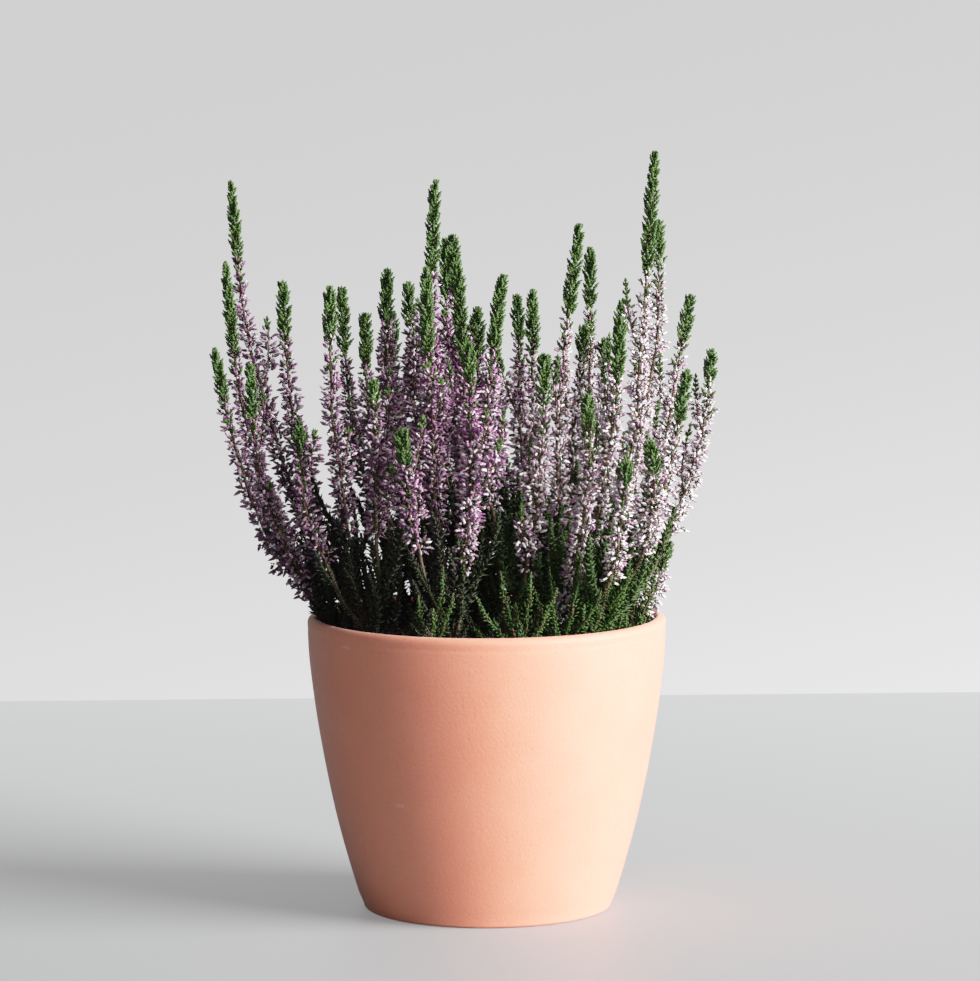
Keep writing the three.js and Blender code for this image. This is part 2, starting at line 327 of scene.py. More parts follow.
def add_grain(tree, mottle, grain, speck):
    """The sandy grain group in a material, with its three scales."""
    scales = {"Mottle Scale": mottle, "Grain Scale": grain, "Speck Scale": speck}
    return add_node(tree, "ShaderNodeGroup", scales, node_tree=sandy_grain).outputs


def turning_rings(tree, place):
    """Faint rings left by the turning, one over another, as a wave up the wall."""
    inputs = {"Vector": place, "Scale": 160.0, "Distortion": 1.2, "Detail": 2.0, "Detail Scale": 0.6}
    return add_node(tree, "ShaderNodeTexWave", inputs, bands_direction="Z").outputs["Fac"]


def lime_marks(tree, place, grain, colour):
    """The clay's colour with a few ragged marks of lime, wider than high."""
    level = vector_node(tree, "MULTIPLY", place, MARK_STRETCH)["Vector"]
    for mark in LIME_MARKS:
        centre = [a * b for a, b in zip(mark, MARK_STRETCH)]
        away = vector_node(tree, "DISTANCE", level, centre)["Value"]
        ragged = plus(tree, away, reach(tree, grain, 0.0, 1.0, 0.0, MARK_RAGGED))
        colour = blend(tree, reach(tree, ragged, MARK_EDGE, MARK_MIDDLE, 0.0, 0.55), colour, LIME)
    return colour


def terracotta_finish():
    finish, tree, shader = new_finish("terracotta")
    coarse = add_grain(tree, 34.0, 900.0, 420.0)
    fine = add_grain(tree, 150.0, 2200.0, 900.0)
    place = object_place(tree)
    colour = blend(tree, coarse["Mottle"], CLAY_DEEP, CLAY_PALE)
    colour = blend(tree, reach(tree, coarse["Grain"], 0.0, 1.0, 0.10, 0.0), colour, PIT)
    colour = blend(tree, times(tree, fine["Specks"], 0.14), colour, LIME)
    colour = blend(tree, times(tree, coarse["Specks"], 0.16), colour, PIT)
    height = times(tree, turning_rings(tree, place), 0.12)
    height = plus(tree, height, coarse["Grain"])
    height = plus(tree, height, times(tree, fine["Grain"], 0.5))
    height = math_node(tree, "SUBTRACT", height, times(tree, coarse["Specks"], 0.7))
    look = {
        "Base Color": lime_marks(tree, place, coarse["Grain"], colour),
        "Roughness": reach(tree, coarse["Grain"], 0.0, 1.0, 0.58, 0.72),
        "Specular IOR Level": 0.7,
        "Sheen Weight": 0.24,
        "Sheen Roughness": 0.5,
        "Normal": bump_node(tree, height, 0.30, 0.00012),
    }
    give(tree, shader, look)
    return finish


pot = Stock(terracotta_finish(), "terracotta")
pot.add(*turned(pot_profile, POT_SIDES))
pot.piece("pot_body", "pot")

# ---------------- soil
# Peat compost, filled to a finger's width under the lip and a little higher in the middle. Its surface is
# loose crumbs of peat and bits of bark and root.
SOIL_TOP = 0.100
SOIL_MOUND = 0.003
SOIL_LUMP = 0.0009
SOIL_ROUGH = 0.0008
SOIL_GAP = 0.0006
SOIL_RADIUS = inner_radius(SOIL_TOP) - SOIL_GAP
SOIL_FOOT = POT_FLOOR + 0.0003
SOIL_RINGS = 30
SOIL_SIDES = 90
CRUMBS = 620
CRUMB_SIZE = 0.0011
BARK_BIT_LONGER = 3.2
PEAT_DARK = (0.018, 0.011, 0.008, 1.0)
PEAT_DRY = (0.085, 0.050, 0.032, 1.0)
PEAT_FIBRE = (0.16, 0.10, 0.06, 1.0)


def soil_height(x, y):
    """A low mound with lumps."""
    share = np.hypot(x, y) / inner_radius(SOIL_TOP)
    lumps = np.sin(310 * x + 1) * np.cos(270 * y) + np.sin(530 * y + 190 * x)
    return SOIL_TOP + SOIL_MOUND * (1 - share**2) + SOIL_LUMP * lumps * (1 - 0.5 * share)


def lump():
    """A crumb: a small rough ball of 20 faces."""
    golden = (1 + math.sqrt(5)) / 2
    flat = [(a, b * golden, 0.0) for a in (-1, 1) for b in (-1, 1)]
    points = np.vstack([np.roll(flat, turn, axis=1) for turn in range(3)])
    faces = []
    for i, j, k in itertools.combinations(range(12), 3):
        a, b, c = points[[i, j, k]]
        if max(np.linalg.norm([a - b, b - c, c - a], axis=1)) < 2.1:
            faces_out = np.dot(np.cross(b - a, c - a), a + b + c) > 0
            faces.append((i, j, k) if faces_out else (i, k, j))
    return unit(points), np.array(faces)


def soil_body():
    """The filling: a fine rough top, and plain sides and underside against the pot."""
    side_heights = np.linspace(2 * POT_FLOOR, SOIL_TOP - 0.002, 12)
    side = np.stack([inner_radius(side_heights) - SOIL_GAP, side_heights], axis=1)
    top_radius = SOIL_RADIUS * np.linspace(1, 0, SOIL_RINGS)
    top = np.stack([top_radius, np.full(SOIL_RINGS, SOIL_TOP)], axis=1)
    points, faces = turned(np.vstack([[(0.0, SOIL_FOOT), (floor_edge, SOIL_FOOT)], side, top]), SOIL_SIDES)
    for i in np.flatnonzero(points[:, 2] > SOIL_TOP - 1e-6):
        x, y, _ = points[i]
        rough = SOIL_ROUGH * noise.fractal(Vector((x, y, 0.0)) * 320, 1.0, 2.0, 3)
        points[i, 2] = soil_height(x, y) + rough - SOIL_ROUGH / 2
    return points, faces


def soil_finish():
    finish, tree, shader = new_finish("soil")
    grain = add_grain(tree, 260.0, 1500.0, 700.0)
    share = times(tree, grain["Mottle"], mark_node(tree, "chance"))
    colour = blend(tree, share, PEAT_DARK, PEAT_DRY)
    colour = blend(tree, times(tree, grain["Specks"], 0.5), colour, PEAT_FIBRE)
    normal = bump_node(tree, grain["Grain"], 0.8, 0.0006)
    give(tree, shader, {"Base Color": colour, "Roughness": 0.95, "Specular IOR Level": 0.2, "Normal": normal})
    return finish


soil = Stock(soil_finish(), "soil", "chance")
soil.add(*soil_body(), chance=0.5)
draw = np.random.default_rng(3)
crumb_angle = draw.uniform(0, 2 * np.pi, CRUMBS)
crumb_radius = 0.97 * SOIL_RADIUS * np.sqrt(draw.uniform(0, 1, CRUMBS))
crumb_x, crumb_y = crumb_radius * np.cos(crumb_angle), crumb_radius * np.sin(crumb_angle)
crumb_places = np.stack([crumb_x, crumb_y, soil_height(crumb_x, crumb_y)], axis=1)
crumb_turns = unit(draw.normal(size=(CRUMBS, 3, 3)))
crumb_sizes = CRUMB_SIZE * draw.uniform(0.35, 1.3, (CRUMBS, 1, 1)) * draw.uniform(0.5, 1.2, (CRUMBS, 3, 1))
crumb_sizes[::6, 0] *= BARK_BIT_LONGER
soil.add_copies(lump(), crumb_places, crumb_turns * crumb_sizes, chance=draw.uniform(0, 1, (CRUMBS, 1)))
soil.piece("soil_filling", "soil")

# ---------------- stems
# Each branch is one woody plant stem, buried at its foot, that divides just above the soil into long thin
# flowering stems. Old wood is grey brown and rough, young wood reddish, and dead wood and painted shade
# nearly black.
ROOT_DEPTH = 0.014
COLLAR_HEIGHT = 0.007
COLLAR_RADIUS = 0.0025
STEM_SINK = 0.002
STEM_THICK = 0.00105
STEM_THIN = 0.00046
STEM_TAPER = ([0, 0.12, 0.75, 1], [STEM_THICK, 0.8 * STEM_THICK, STEM_THIN, 0.0002])
STEM_SHORT = 0.0015
STEM_RINGS = (40, 6)
STEM_BEND = (0.57, 0.57, 0.3)
STEM_WANDER = 0.0005
TIP_GAP = 0.0003
DEAD_WOOD_AND_SHADE = (0.012, 0.009, 0.007, 1.0)
OLD_WOOD = (0.060, 0.038, 0.026, 1.0)
PALE_WOOD = (0.230, 0.150, 0.095, 1.0)
YOUNG_WOOD = (0.155, 0.078, 0.062, 1.0)
FIBRE_SCALES = (2600.0, 2600.0, 260.0)


def corners_of(node):
    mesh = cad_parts[node].data
    points = np.empty(3 * len(mesh.vertices))
    mesh.vertices.foreach_get("co", points)
    return np.unique(points.reshape(-1, 3).round(6), axis=0)


def lowest_ring(corners, height):
    """The middle of the corners within this height of the lowest one."""
    return corners[corners[:, 2] < corners[:, 2].min() + height].mean(axis=0)


def root_of(node):
    """The middle of the buried foot of a branch or clump, which is its lowest ring of corners."""
    return lowest_ring(corners_of(node), height=0.0005)


def tip_ends(node):
    """The foot and the point of a green tip."""
    corners = corners_of(node)
    foot = lowest_ring(corners, height=0.0009)
    point = corners[corners[:, 2].argmax()]
    return foot - TIP_GAP * unit(point - foot), point


def length_of(path):
    return np.linalg.norm(np.diff(path, axis=0), axis=1).sum()


def follow(path, distances):
    """Points at these distances along a path, and the directions there."""
    marks = np.concatenate([[0.0], np.cumsum(np.linalg.norm(np.diff(path, axis=0), axis=1))])

    def at(wanted):
        return np.stack([np.interp(wanted, marks, path[:, k]) for k in range(3)], axis=1)

    step = 0.0008
    ahead = at(np.minimum(distances + step, marks[-1]))
    behind = at(np.maximum(distances - step, 0))
    return at(distances), unit(ahead - behind)


def across(along):
    """Two directions square to each direction along a stem."""
    sideways = np.broadcast_to([1.0, 0.0, 0.0], along.shape)
    first = unit(sideways - (along @ [1.0, 0.0, 0.0])[:, None] * along)
    return first, np.cross(along, first)


def outward(along, angles):
    """Directions out of a stem at these angles round it."""
    first, second = across(along)
    return np.cos(angles)[:, None] * first + np.sin(angles)[:, None] * second


def tube(path, radii, sides):
    """A closed round stem along a path."""
    first, second = across(unit(np.gradient(path, axis=0)))
    angles = 2 * np.pi * np.arange(sides)[None, :, None] / sides
    around = np.cos(angles) * first[:, None, :] + np.sin(angles) * second[:, None, :]
    rings = path[:, None, :] + radii[:, None, None] * around
    return np.vstack([rings.reshape(-1, 3), path[[0, -1]]]), closed_faces(len(path), sides)


def add_stem(wood, path, rings, taper, **marks):
    """A stem that ends inside its last leaves. Rings: how many, and their sides. Taper: shares and radii."""
    place, _ = follow(path, np.linspace(0, length_of(path) - STEM_SHORT, rings[0]))
    wood.add(*tube(place, np.interp(np.linspace(0, 1, rings[0]), *taper), rings[1]), **marks)


def up_stem(rings, low=0.0, high=1.0):
    """How far up its stem each point of a tube is: ring by ring, and then its two ends."""
    return np.append(np.repeat(np.linspace(low, high, rings[0]), rings[1]), [0, 1])


def stem_path(start, foot, point):
    """The way of a flowering stem: outwards from its collar, then up and straight along its green tip."""
    along = unit(point - foot)
    way = foot - start
    controls = [start, start + way * STEM_BEND, foot - 0.35 * np.linalg.norm(way) * along, foot]
    return bezier(controls, 60), np.linspace(foot, point, 14)[1:]


def wander(path, draw, size):
    """The same path with the small bends of a stem that grew, still at both ends."""
    share = np.linspace(0, 1, len(path))[:, None]
    phase, pace = draw.uniform(0, 2 * np.pi, (2, 3)), draw.uniform(1.5, 3.5, (2, 3))
    long_bends = np.sin(2 * np.pi * pace[0] * share + phase[0])
    short_bends = 0.5 * np.sin(4 * np.pi * pace[1] * share + phase[1])
    return path + size * (long_bends + short_bends) * np.sin(np.pi * share) ** 0.7


def bark_finish():
    finish, tree, shader = new_finish("bark")
    grain = add_grain(tree, 900.0, 3500.0, 1500.0)
    fibre_place = vector_node(tree, "MULTIPLY", object_place(tree), FIBRE_SCALES)["Vector"]
    streaks = reach(tree, noise_node(tree, fibre_place, 1.0, 3.0), 0.35, 0.65)
    colour = blend(tree, streaks, OLD_WOOD, PALE_WOOD)
    colour = blend(tree, reach(tree, mark_node(tree, "young"), 0.15, 0.7), colour, YOUNG_WOOD)
    colour = blend(tree, times(tree, grain["Mottle"], 0.3), colour, PALE_WOOD)
    # Dead wood, and painted shade on the lower stems away from the window, go nearly black.
    colour = blend(tree, mark_node(tree, "dead"), colour, DEAD_WOOD_AND_SHADE)
    normal = bump_node(tree, streaks, 0.7, 0.0002)
    give(tree, shader, {"Base Color": colour, "Roughness": 0.75, "Specular IOR Level": 0.3, "Normal": normal})
    return finish


def add_collar(wood, root, radius, draw):
    """The woody foot, from deep in the soil to where it divides. Returns the start of its stems."""
    height = np.linspace(0, ROOT_DEPTH + COLLAR_HEIGHT, 12)
    path = root + np.stack([0 * height, 0 * height, height], axis=1)
    swell = np.interp(height, [0, 0.6 * height[-1], height[-1]], [0.8, 1.0, 0.72])
    wood.add(*tube(path, radius * swell * draw.uniform(0.93, 1.05, len(path)), 10), young=0.0, dead=0.3)
    return path[-1] - [0.0, 0.0, STEM_SINK]


# ---------------- buds
# Closed flower buds, pointed like grains of rice. Each stands on a short stalk out of a few scale-like
# bracts, on the stem itself and, lower down, on short sprigs too. They are pale pink to mauve, deeper at the
# point and further up the spike, with painted shade towards dark plum on the stems away from the window.
BUDS_PER_METRE = 4450
BUD_LENGTH = 0.0035
BUD_RADIUS = 0.00072
STALK_SHORT = 0.0004
STALK_LONG = 0.0031
STALK_RADIUS = 0.00020
STALK_INTO_BUD = 0.0005
SEPAL_REACH = 0.00088
SEPAL_SINK = 0.0002
SPRIG_STEP = 0.0042
SPRIG_LENGTH = 0.0068
SPRIG_TOP = 0.62
SPRIG_BUDS_FROM = 0.0020
SPRIG_BUD_STEP = 0.0010
GOLDEN_ANGLE = math.radians(137.5)
DEEPER_UPWARDS = 1.2
BUD_PALE = (0.90, 0.83, 0.84, 1.0)
BUD_MAUVE = (0.29, 0.115, 0.245, 1.0)
BUD_MAGENTA = (0.34, 0.062, 0.29, 1.0)
BUD_ROSE = (0.36, 0.21, 0.19, 1.0)
BUD_GREEN = (0.36, 0.38, 0.20, 1.0)
BUD_PAINTED_SHADE = (0.115, 0.036, 0.090, 1.0)


def spindle(stations, sides, first=0.0, twist=0.0):
    """A closed shape of rings (height, radius) about Z, with a point at each end."""
    angles = first + 2 * np.pi * np.arange(sides) / sides
    points = [
        [radius * math.cos(a + i * twist), radius * math.sin(a + i * twist), height]
        for i, (height, radius) in enumerate(stations[1:-1])
        for a in angles
    ]
    rings = len(stations) - 2
    points += [[0, 0, stations[0][0]], [0, 0, stations[-1][0]]]
    return np.array(points, dtype=float), closed_faces(rings, sides)


def axes(along, facing, wide, thick, long):
    """Local axes for shapes that stand along the directions, with their flat side towards facing."""
    flat = unit(facing - (facing * along).sum(axis=1, keepdims=True) * along)
    side = np.cross(flat, along)
    sizes = [np.broadcast_to(size, len(along))[:, None] for size in (wide, thick, long)]
    return np.stack([side * sizes[0], flat * sizes[1], along * sizes[2]], axis=1)


def pyramid(corners_height, point_height):
    """Three corners and a point: a stalk where the point is above, and a cup of sepals where it is below."""
    angles = 2 * np.pi * np.arange(3) / 3
    corners = np.stack([np.cos(angles), np.sin(angles), np.full(3, corners_height)], axis=1)
    points = np.vstack([corners, [[0.0, 0.0, point_height]]])
    faces = np.array([[0, 2, 1], [0, 1, 3], [1, 2, 3], [2, 0, 3]])
    return points, faces if point_height > corners_height else faces[:, ::-1]


bud_shape = spindle([(0, 0), (0.24, 0.88), (0.66, 0.86), (1, 0)], 4, twist=math.radians(45))
sepals_shape = pyramid(1.0, 0.0)
stalk_shape = pyramid(0.0, 1.0)
scale_shape = spindle([(0, 0), (0.66, 1.0), (1, 0)], 3, first=math.radians(90))
core_shape = spindle([(0, 0), (0.74, 1.0), (1, 0)], 3)


def bud_finish():
    finish, tree, shader = new_finish("bud skin")
    share, chance, depth, plum = (mark_node(tree, mark) for mark in ("share", "chance", "depth", "plum"))
    grain = add_grain(tree, 1200.0, 5000.0, 2500.0)
    mauve = blend(tree, depth, BUD_MAUVE, BUD_MAGENTA)
    toward_tip = reach(tree, share, 0.35, 1.0, 0.0, 0.45)
    amount = plus(tree, toward_tip, reach(tree, chance, 0.25, 0.90, -0.10, 0.80))
    amount = plus(tree, amount, times(tree, depth, 0.25))
    colour = blend(tree, reach(tree, amount, 0.0, 1.0), BUD_PALE, mauve)
    second_chance = math_node(tree, "FRACT", times(tree, chance, 7.3))
    colour = blend(tree, reach(tree, second_chance, 0.60, 0.95, 0.0, 0.65), colour, BUD_ROSE)
    greenish = times(tree, reach(tree, share, 0.22, 0.0), 0.7)
    colour = blend(tree, greenish, colour, BUD_GREEN)
    colour = blend(tree, times(tree, grain["Mottle"], 0.20), colour, mauve)
    # Painted shade: buds on stems away from the window are darkened towards plum.
    shade_likely = plus(tree, chance, times(tree, plum, 0.5))
    shade_amount = times(tree, plum, reach(tree, shade_likely, 0.37, 0.70))
    colour = blend(tree, shade_amount, colour, BUD_PAINTED_SHADE)
    give(tree, shader, {"Base Color": colour, "Roughness": 0.5, "Specular IOR Level": 0.35})
    return finish


def uneven(count, draw):
    """Shares from 0 to 1 at uneven steps."""
    return (np.arange(count) + draw.uniform(0, 1, count)) / count


def leaned(along, out, lean):
    """Directions that lean out from a stem by these angles."""
    return np.cos(lean)[:, None] * along + np.sin(lean)[:, None] * out


def sprigs_on(path, low, high, draw):
    """Short sprigs among the lower buds: the start, way, length and share of height of each."""
    count = int(SPRIG_TOP * (high - low) / SPRIG_STEP)
    share = SPRIG_TOP * uneven(count, draw)
    place, along = follow(path, low + (high - low) * share)
    out = outward(along, np.arange(count) * GOLDEN_ANGLE + draw.normal(0, 0.5, count))
    way = leaned(along, out, draw.uniform(0.55, 0.95, count))
    length = SPRIG_LENGTH * np.interp(share, [0, SPRIG_TOP], [1.0, 0.35]) * draw.uniform(0.55, 1.2, count)
    return place, way, length, share


def stem_stands(path, low, high, per_metre, draw):
    """Where buds stand on a stem: the place of each, the way of the stem there, and how far up it is."""
    count = int(per_metre * (high - low))
    share = uneven(count, draw)
    left_out = np.interp(share, [0, 0.2, 0.65, 0.85, 1], [0.60, 0, 0.05, 0.30, 0.70])
    share = share[draw.uniform(0, 1, count) > left_out]
    places, ways = follow(path, low + (high - low) * share)
    return places, ways, share


def sprig_stands(start, way, length, share):
    """Where buds stand on the sprigs, at even steps."""
    stands = []
    for distance in np.arange(SPRIG_BUDS_FROM, 1.2 * SPRIG_LENGTH, SPRIG_BUD_STEP):
        kept = length > distance
        stands.append((start[kept] + distance * way[kept], way[kept], share[kept]))
    return [np.concatenate(column) for column in zip(*stands)]


def add_buds(buds, leaves, stands, hue_and_shade, draw):
    """Buds on their stalks, each in a cup of bracts and one of sepals. Hue and shade: how mauve, and how much
    painted shade.
    """
    place, along, share = stands
    deep, plum = hue_and_shade
    count = len(share)
    out = outward(along, np.arange(count) * GOLDEN_ANGLE + draw.normal(0, 0.6, count))
    lean = np.interp(share, [0, 0.35, 0.8, 1], [1.35, 1.20, 0.95, 0.70]) + draw.normal(0, 0.20, count)
    way = leaned(along, out, lean)
    size = np.interp(share, [0, 0.25, 0.75, 1], [0.88, 1.0, 0.95, 0.70]) * draw.uniform(0.78, 1.12, count)
    chance = draw.uniform(0, 1, (count, 1))
    long = np.interp(share, [0, 0.1, 0.7, 1], [0.8, 1.0, 0.95, 0.65]) * STALK_LONG
    stalk = STALK_SHORT + (long - STALK_SHORT) * draw.uniform(0, 1, count) ** 0.75
    base = place + stalk[:, None] * way
    nod = unit(way + 0.45 * draw.normal(size=(count, 3)) - [0.0, 0.0, 0.06])
    thick = BUD_RADIUS * size * draw.uniform(0.85, 1.15, count)
    # Painted shade: more of it low on the spike, less towards its point.
    shade = plum * np.interp(share, [0.1, 0.9], [1.15, 0.75])[:, None]
    deep = deep + DEEPER_UPWARDS * (share[:, None] - 0.5)
    bud_axes = axes(nod, along, thick, thick, BUD_LENGTH * size)
    up_bud = bud_shape[0][:, 2]
    buds.add_copies(bud_shape, base, bud_axes, share=up_bud, chance=chance, depth=deep, plum=shade)
    # The bracts are drier, and darker with the painted shade, on stems away from the window.
    dry = np.interp(plum, [0, 0.4], [0.55, 1.0]) * (0.30 + 0.60 * draw.uniform(0, 1, (count, 1)))
    stalk_axes = axes(way, along, STALK_RADIUS, STALK_RADIUS, stalk + STALK_INTO_BUD)
    leaves.add_copies(stalk_shape, place, stalk_axes, share=0.3, chance=chance, dry=0.8)
    cup = SEPAL_REACH * size
    cup_base = base - SEPAL_SINK * nod
    tall = BUD_LENGTH * size * draw.uniform(0.7, 1.15, count)
    bracts_axes = axes(nod, along, cup, cup, 0.34 * tall)
    bracts_share = 0.35 * sepals_shape[0][:, 2]
    leaves.add_copies(sepals_shape, cup_base, bracts_axes, share=bracts_share, chance=chance, dry=dry)
    sepals_axes = axes(nod, -along, 0.9 * cup, 0.9 * cup, 0.52 * tall)
    # The sepals turn more mauve with the painted shade.
    sepal_tint_and_shade = np.interp(plum, [0, 0.3], [0.35, 0.60])
    shade = 0.8 * shade
    buds.add_copies(sepals_shape, cup_base, sepals_axes, share=0.5, chance=sepal_tint_and_shade, depth=deep, plum=shade)


# ---------------- leaves
# Scale leaves 1.5 mm long, in crossed pairs that overlap like the scales of a small conifer. They clothe the
# side shoots of the green tip above the buds, the low leafy shoots and, dry and sparse, the stems.
QUARTER_TURN = 0.5 * math.pi
PAIR_STEP = 0.00085
TIP_REACH = 0.0043
SHOOT_SHORTEST = 0.0012
SHOOT_LONGEST = 0.0054
SHOOT_PAST_POINT = 0.0007
POINT_GAP = 0.0023
SCALE_LENGTH = 0.00152
SCALE_HALF_WIDTH = 0.00063
SCALE_HALF_THICK = 0.00044
SCALE_STEP = 0.0010
SCALE_ASIDE = 0.0004
SCALE_BEYOND = 0.0006
SCALE_FULL_FROM = 0.003
CORE_RADIUS = 0.00074
CORE_FULL_FROM = 0.0020
SPRAY_STEP = 0.00070
SPRAY_LEAF = 0.0038
SPRAY_HALF_WIDTH = 0.00052
SPRAY_CORE = 0.00070
SPRAY_GAP = 0.0022
OLD_STEP = 0.0012
OLD_LEAF = 0.0046
OLD_HALF_WIDTH = 0.00095
FOOT_SPRAYS = 7
FOOT_SPRAY_LENGTHS = (0.017, 0.030)
FOOT_SPRAY_UP = 0.001
FOOT_SPRAY_OUT = 0.002
BACK_FROM = 0.02
BACK_SPRAYS = 13
BACK_LONGER = 1.3
RIM_CLEAR = 0.0025
LEAF_DARK = (0.024, 0.062, 0.014, 1.0)
LEAF_BRIGHT = (0.095, 0.163, 0.031, 1.0)
LEAF_TIP = (0.165, 0.238, 0.092, 1.0)
LEAF_DRY_AND_SHADE = (0.014, 0.010, 0.008, 1.0)


def leaf_finish():
    finish, tree, shader = new_finish("leaf skin")
    share, chance, dry = (mark_node(tree, mark) for mark in ("share", "chance", "dry"))
    grain = add_grain(tree, 700.0, 5000.0, 2500.0)
    colour = blend(tree, reach(tree, chance, 0.0, 1.0), LEAF_DARK, LEAF_BRIGHT)
    colour = blend(tree, reach(tree, share, 0.55, 1.0, 0.0, 0.40), colour, LEAF_TIP)
    # Dry leaves, and painted shade on leaves away from the window, go nearly black.
    colour = blend(tree, dry, colour, LEAF_DRY_AND_SHADE)
    colour = blend(tree, times(tree, grain["Mottle"], 0.25), colour, LEAF_DARK)
    give(tree, shader, {"Base Color": colour, "Roughness": 0.5, "Specular IOR Level": 0.30})
    return finish


def clothe(leaves, starts, ways, lengths, stations, draw, dry=0.0):
    """Scale leaves in crossed pairs up many short straight shoots, with one more at the end of each."""
    count = len(starts)
    first, second = across(ways)
    up_scale = scale_shape[0][:, 2]
    tone = draw.uniform(0.1, 0.9, (count, 1))
    shrink = np.clip(lengths / SCALE_FULL_FROM, 0.7, 1.0)
    for station in range(stations):
        share = (station + 0.1) / stations
        for sense in (-1, 1):
            side = sense * (first if station % 2 else second)
            leaf = unit(ways + 0.36 * side + 0.10 * draw.normal(size=(count, 3)))
            size = (1.06 - 0.22 * share) * draw.uniform(0.85, 1.12, count) * shrink
            places = starts + (lengths * share)[:, None] * ways
            sizes = SCALE_HALF_WIDTH * size, SCALE_HALF_THICK * size, SCALE_LENGTH * size
            chance = np.clip(tone + draw.normal(0, 0.22, (count, 1)), 0, 1)
            scale_axes = axes(leaf, side, *sizes)
            leaves.add_copies(scale_shape, places, scale_axes, share=up_scale, chance=chance, dry=dry)
    ends = starts + (lengths * 0.92)[:, None] * ways
    sizes = 0.85 * SCALE_HALF_WIDTH * shrink, SCALE_HALF_THICK * shrink, 0.80 * SCALE_LENGTH
    leaves.add_copies(scale_shape, ends, axes(ways, first, *sizes), share=up_scale, chance=tone, dry=dry)


def crossed_pairs(path, low, high, step, turn_on, uneven_turn, leans, uneven_lean, draw):
    """Pairs up a path, each square to the last: twice the shares, places, ways, outward ways and leans."""
    count = max(3, int((high - low) / step))
    share = (np.arange(count) + 0.4) / count
    place, along = follow(path, low + (high - low) * share)
    turn = np.arange(count) * turn_on + draw.uniform(0, 6)
    for sense in (0, math.pi):
        out = outward(along, turn + sense + draw.normal(0, uneven_turn, count))
        lean = np.interp(share, [0, 0.8, 1], leans) + draw.normal(0, uneven_lean, count)
        yield share, place, leaned(along, out, lean), out, lean


def add_leafy(leaves, path, low, high, wide, draw, step=PAIR_STEP, closing=1.0):
    """Leafy side shoots in crossed pairs along a path, which close to a point at the end of a green tip."""
    leans = [0.66, 0.55, 0.30 / closing]
    pairs = crossed_pairs(path, low, high, step, QUARTER_TURN + 0.13, 0.22, leans, 0.08, draw)
    for share, place, way, out, lean in pairs:
        size = np.minimum(1, 0.80 + 1.5 * share) * np.sqrt(np.maximum(1.05 - closing * share**2.1, 0.05))
        long = (wide * size * draw.uniform(0.80, 1.08, len(share)) - SCALE_ASIDE) / np.sin(lean)
        room = (1 - share) * (high - low) + SHOOT_PAST_POINT
        long = np.minimum(np.clip(long, SHOOT_SHORTEST, SHOOT_LONGEST), room / np.cos(lean))
        core = CORE_RADIUS * np.minimum(1, long / CORE_FULL_FROM)
        core_axes = axes(way, out, core, core, long)
        leaves.add_copies(core_shape, place, core_axes, share=0.2, chance=0.3, dry=0.0)
        clothe(leaves, place, way, long - SCALE_BEYOND, 3, draw)


def clothe_stem(leaves, path, low, high, step, draw, dry=0.0):
    """Scale leaves in crossed pairs on a stem itself."""
    place, along = follow(path, np.arange(low, high, step))
    clothe(leaves, place, along, np.full(len(place), 0.6 * step), 1, draw, dry)


def add_spray(leaves, path, low, high, wide, dry, draw, old=False):
    """A spray: pairs of long thin leaves close together on a leafy core, shorter towards its end."""
    leaf_shape = stalk_shape if old else scale_shape
    up_leaf = 0.6 * leaf_shape[0][:, 2]
    step, half_width = (OLD_STEP, OLD_HALF_WIDTH) if old else (SPRAY_STEP, SPRAY_HALF_WIDTH)
    stations = follow(path, np.linspace(0, high, 6))[0]
    tone = draw.uniform(0.0, 0.55)
    radii = SPRAY_CORE * np.array([0.6, 1, 1, 1, 0.85, 0.3])
    leaves.add(*tube(stations, radii, 3), share=0.15, chance=0.5 * tone, dry=dry)
    pairs = crossed_pairs(path, low, high, step, QUARTER_TURN, 0.30, [0.95, 0.75, 0.45], 0.16, draw)
    for share, place, way, out, _ in pairs:
        size = np.minimum(1, 0.6 + 2 * share) * np.sqrt(np.maximum(1.06 - share**2, 0.08))
        long = wide * size * draw.uniform(0.65, 1.15, len(share))
        leaf_axes = axes(way, out, half_width, 0.8 * half_width, long)
        chance = tone + draw.uniform(0, 0.3, (len(share), 1))
        leaves.add_copies(leaf_shape, place, leaf_axes, share=up_leaf, chance=chance, dry=dry)


def add_foot_sprays(leaves, root, draw):
    """Sprays that spread from the foot of a stem, close over the soil, and stay inside the pot's lip."""
    count, longer = (FOOT_SPRAYS, 1.0) if root[1] < BACK_FROM else (BACK_SPRAYS, BACK_LONGER)
    ways = 2 * np.pi * (np.arange(count) + draw.uniform(0, 0.7, count)) / count
    # Painted shade: the foot sprays on the left, away from the window, are darkened.
    shade = np.interp(root[0], [-0.02, 0.0, 0.02], [0.98, 0.62, 0.0])
    middle = np.array([*root[:2], soil_height(*root[:2]) + FOOT_SPRAY_UP])
    for way in ways:
        out = np.array([math.cos(way), math.sin(way), 0.0])
        start = middle + FOOT_SPRAY_OUT * out
        length = draw.uniform(*FOOT_SPRAY_LENGTHS) * longer
        end = start + length * unit(out + [0.0, 0.0, draw.uniform(0.45, 1.5)])
        if np.hypot(*end[:2]) > inner_radius(end[2]) - RIM_CLEAR:
            end[:2] *= (inner_radius(LIP_MIDDLE) - RIM_CLEAR) / np.hypot(*end[:2])
        spray = bezier([start, start + 0.5 * length * unit(out + [0.0, 0.0, 0.4]), end], 10)
        dry = min(shade + draw.uniform(0.0, 0.4), 1.0)
        add_spray(leaves, spray, 0.05 * length, length_of(spray) - SPRAY_GAP, SPRAY_LEAF, dry, draw)


